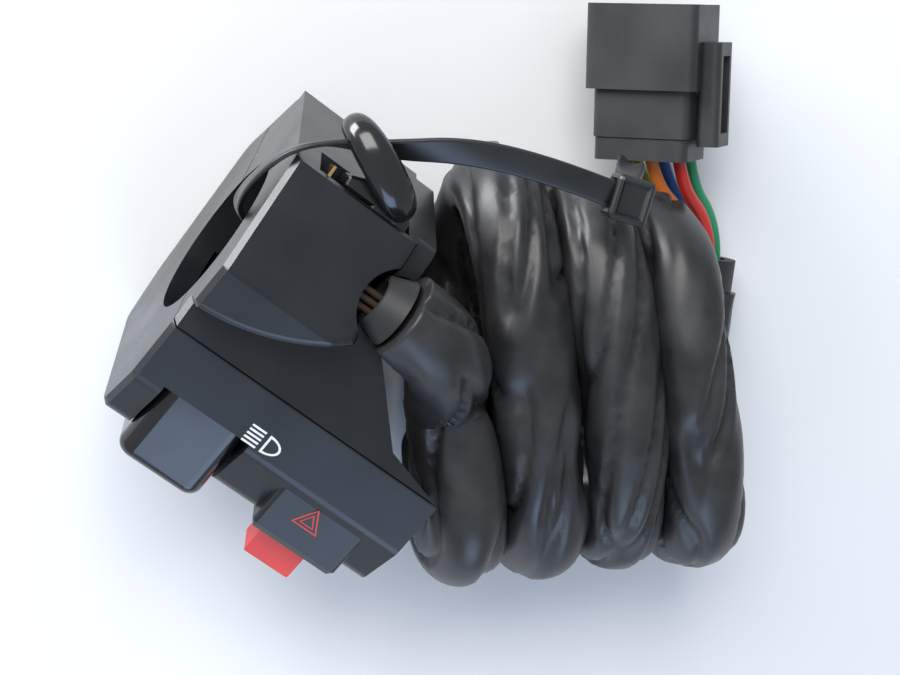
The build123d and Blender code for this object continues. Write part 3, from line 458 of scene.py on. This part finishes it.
# Tie. A black nylon strap that goes through the trigger's ring and the bar's bore, and round the hank,
# pulled up in its own head.
strap_half_thick, strap_half_wide, strap_steps, strap_roundness = 0.00035, 0.0014, 16, 3
tie_route = [
    (0.0165, 0.0335, 0.0135), (0.008, 0.0312, 0.0145), (-0.003, 0.0268, 0.0145), (-0.0115, 0.0205, 0.0131),
    (-0.0170, 0.0178, 0.0132), (-0.0214, 0.0135, 0.0138), (-0.0222, 0.007, 0.0095), (-0.0205, 0.0035, 0.006),
    (-0.012, 0.003, 0.004), (0.003, 0.003, 0.0), (0.014, 0.0095, -0.004), (0.026, 0.017, -0.0058),
    (0.0265, 0.0282, -0.0058), (0.019, 0.0386, -0.004), (0.018, 0.0386, 0.006), (0.0165, 0.0345, 0.0125),
]
tie = route_curve("tie_strap", tie_route, strap_half_thick, strap_steps, strap_roundness)
tie.data.extrude = strap_half_wide
tie.data.twist_mode = "Z_UP"
for bend, turned in zip(tie.data.splines[0].points, (75, 75, 75, 40, 5)):
    bend.tilt = radians(turned)
tie_nylon = finish("tie nylon", (0.01, 0.01, 0.011), (0.018, 0.018, 0.02), 0.26, 0.4, bump=0.15)
tie.data.materials.append(tie_nylon)
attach(tie, "housing")

head_size, head_round = (0.0052, 0.0058, 0.0042), 0.0007
head_at, head_turn = (0.0172, 0.0338, 0.0132), radians(20)
broad_face, dent_border, dent_depth = 0.000008, 0.0006, 0.0005
head = bmesh.new()
bmesh.ops.create_cube(head, size=1)
bmesh.ops.scale(head, vec=head_size, verts=head.verts[:])
bmesh.ops.bevel(head, geom=head.edges[:], offset=head_round, offset_type="OFFSET", segments=3, profile=0.5,
                affect="EDGES", material=-1)
for face in [f for f in head.faces if f.calc_area() > broad_face]:
    bmesh.ops.inset_individual(head, faces=[face], thickness=dent_border, depth=-dent_depth)
bmesh.ops.rotate(head, cent=(0, 0, 0), matrix=Matrix.Rotation(head_turn, 3, "Z"), verts=head.verts[:])
bmesh.ops.translate(head, vec=head_at, verts=head.verts[:])
tie_head = settle("tie_head", head, tie_nylon)
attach(tie_head, "housing")


# Inner wires. Thin leads in brown insulation. Inside the housing they come over the bar to the grommet,
# where the loom begins.
inner_insulation = finish("inner wire insulation", (0.05, 0.03, 0.02), (0.09, 0.06, 0.04), 0.4, 0.5)
dress(inner_insulation, "inner_wires")


# Table, daylight and camera. The switch lies on a pale table under a pale sky. A window stands above the
# grip end, a low lamp beside that end, and a cool fill on the rider's side.
table_top, table_width = -0.0226, 3
sky_colour, sky_strength = (0.86, 0.92, 1.0, 1), 0.55
pale_table = finish("pale table", (0.76, 0.77, 0.79), (0.8, 0.805, 0.82), 0.6, 0.7, patch=12.0, bump=0.05)
bpy.ops.mesh.primitive_plane_add(size=table_width, location=(0, 0, table_top))
floor = bpy.context.object
floor.name = "floor"
floor.data.materials.append(pale_table)

world = bpy.data.worlds.new("studio")
bpy.context.scene.world = world
world.use_nodes = True
world.node_tree.nodes["Background"].inputs["Color"].default_value = sky_colour
world.node_tree.nodes["Background"].inputs["Strength"].default_value = sky_strength


def softbox(name, place, aim, size, power, colour):
    lamp = bpy.data.lights.new(name, "AREA")
    lamp.shape, lamp.size, lamp.size_y = "RECTANGLE", size[0], size[1]
    lamp.energy, lamp.color = power, colour
    stand = bpy.data.objects.new(name, lamp)
    stand.location = place
    stand.rotation_euler = (Vector(aim) - Vector(place)).to_track_quat("-Z", "Y").to_euler()
    bpy.context.collection.objects.link(stand)


softbox("window", (-0.5, 0.35, 0.75), (0.02, 0.01, 0), (0.7, 0.5), 7.5, (1, 0.985, 0.96))
softbox("side", (-0.75, 0.12, 0.10), (-0.02, 0, 0), (0.5, 0.35), 9.0, (0.97, 0.98, 1))
softbox("fill", (0.45, -0.75, 0.5), (0.02, 0.01, 0), (0.6, 0.6), 4.0, (0.5, 0.68, 1))

camera = bpy.data.cameras.new("camera")
camera.lens, camera.sensor_width, camera.clip_start = 80, 36, 0.01
eye = bpy.data.objects.new("camera", camera)
eye_at = (-0.0603, 0.00678, 0.25075)
right = Vector((0.77671, 0.58771, 0.22654))
up = Vector((-0.56420, 0.80907, -0.16456))
back = Vector((-0.28, 0, 0.96)).normalized()
eye.matrix_world = Matrix([(right[n], up[n], back[n], eye_at[n]) for n in range(3)] + [(0, 0, 0, 1)])
bpy.context.collection.objects.link(eye)
bpy.context.scene.camera = eye
bpy.context.scene.view_settings.view_transform = "Standard"
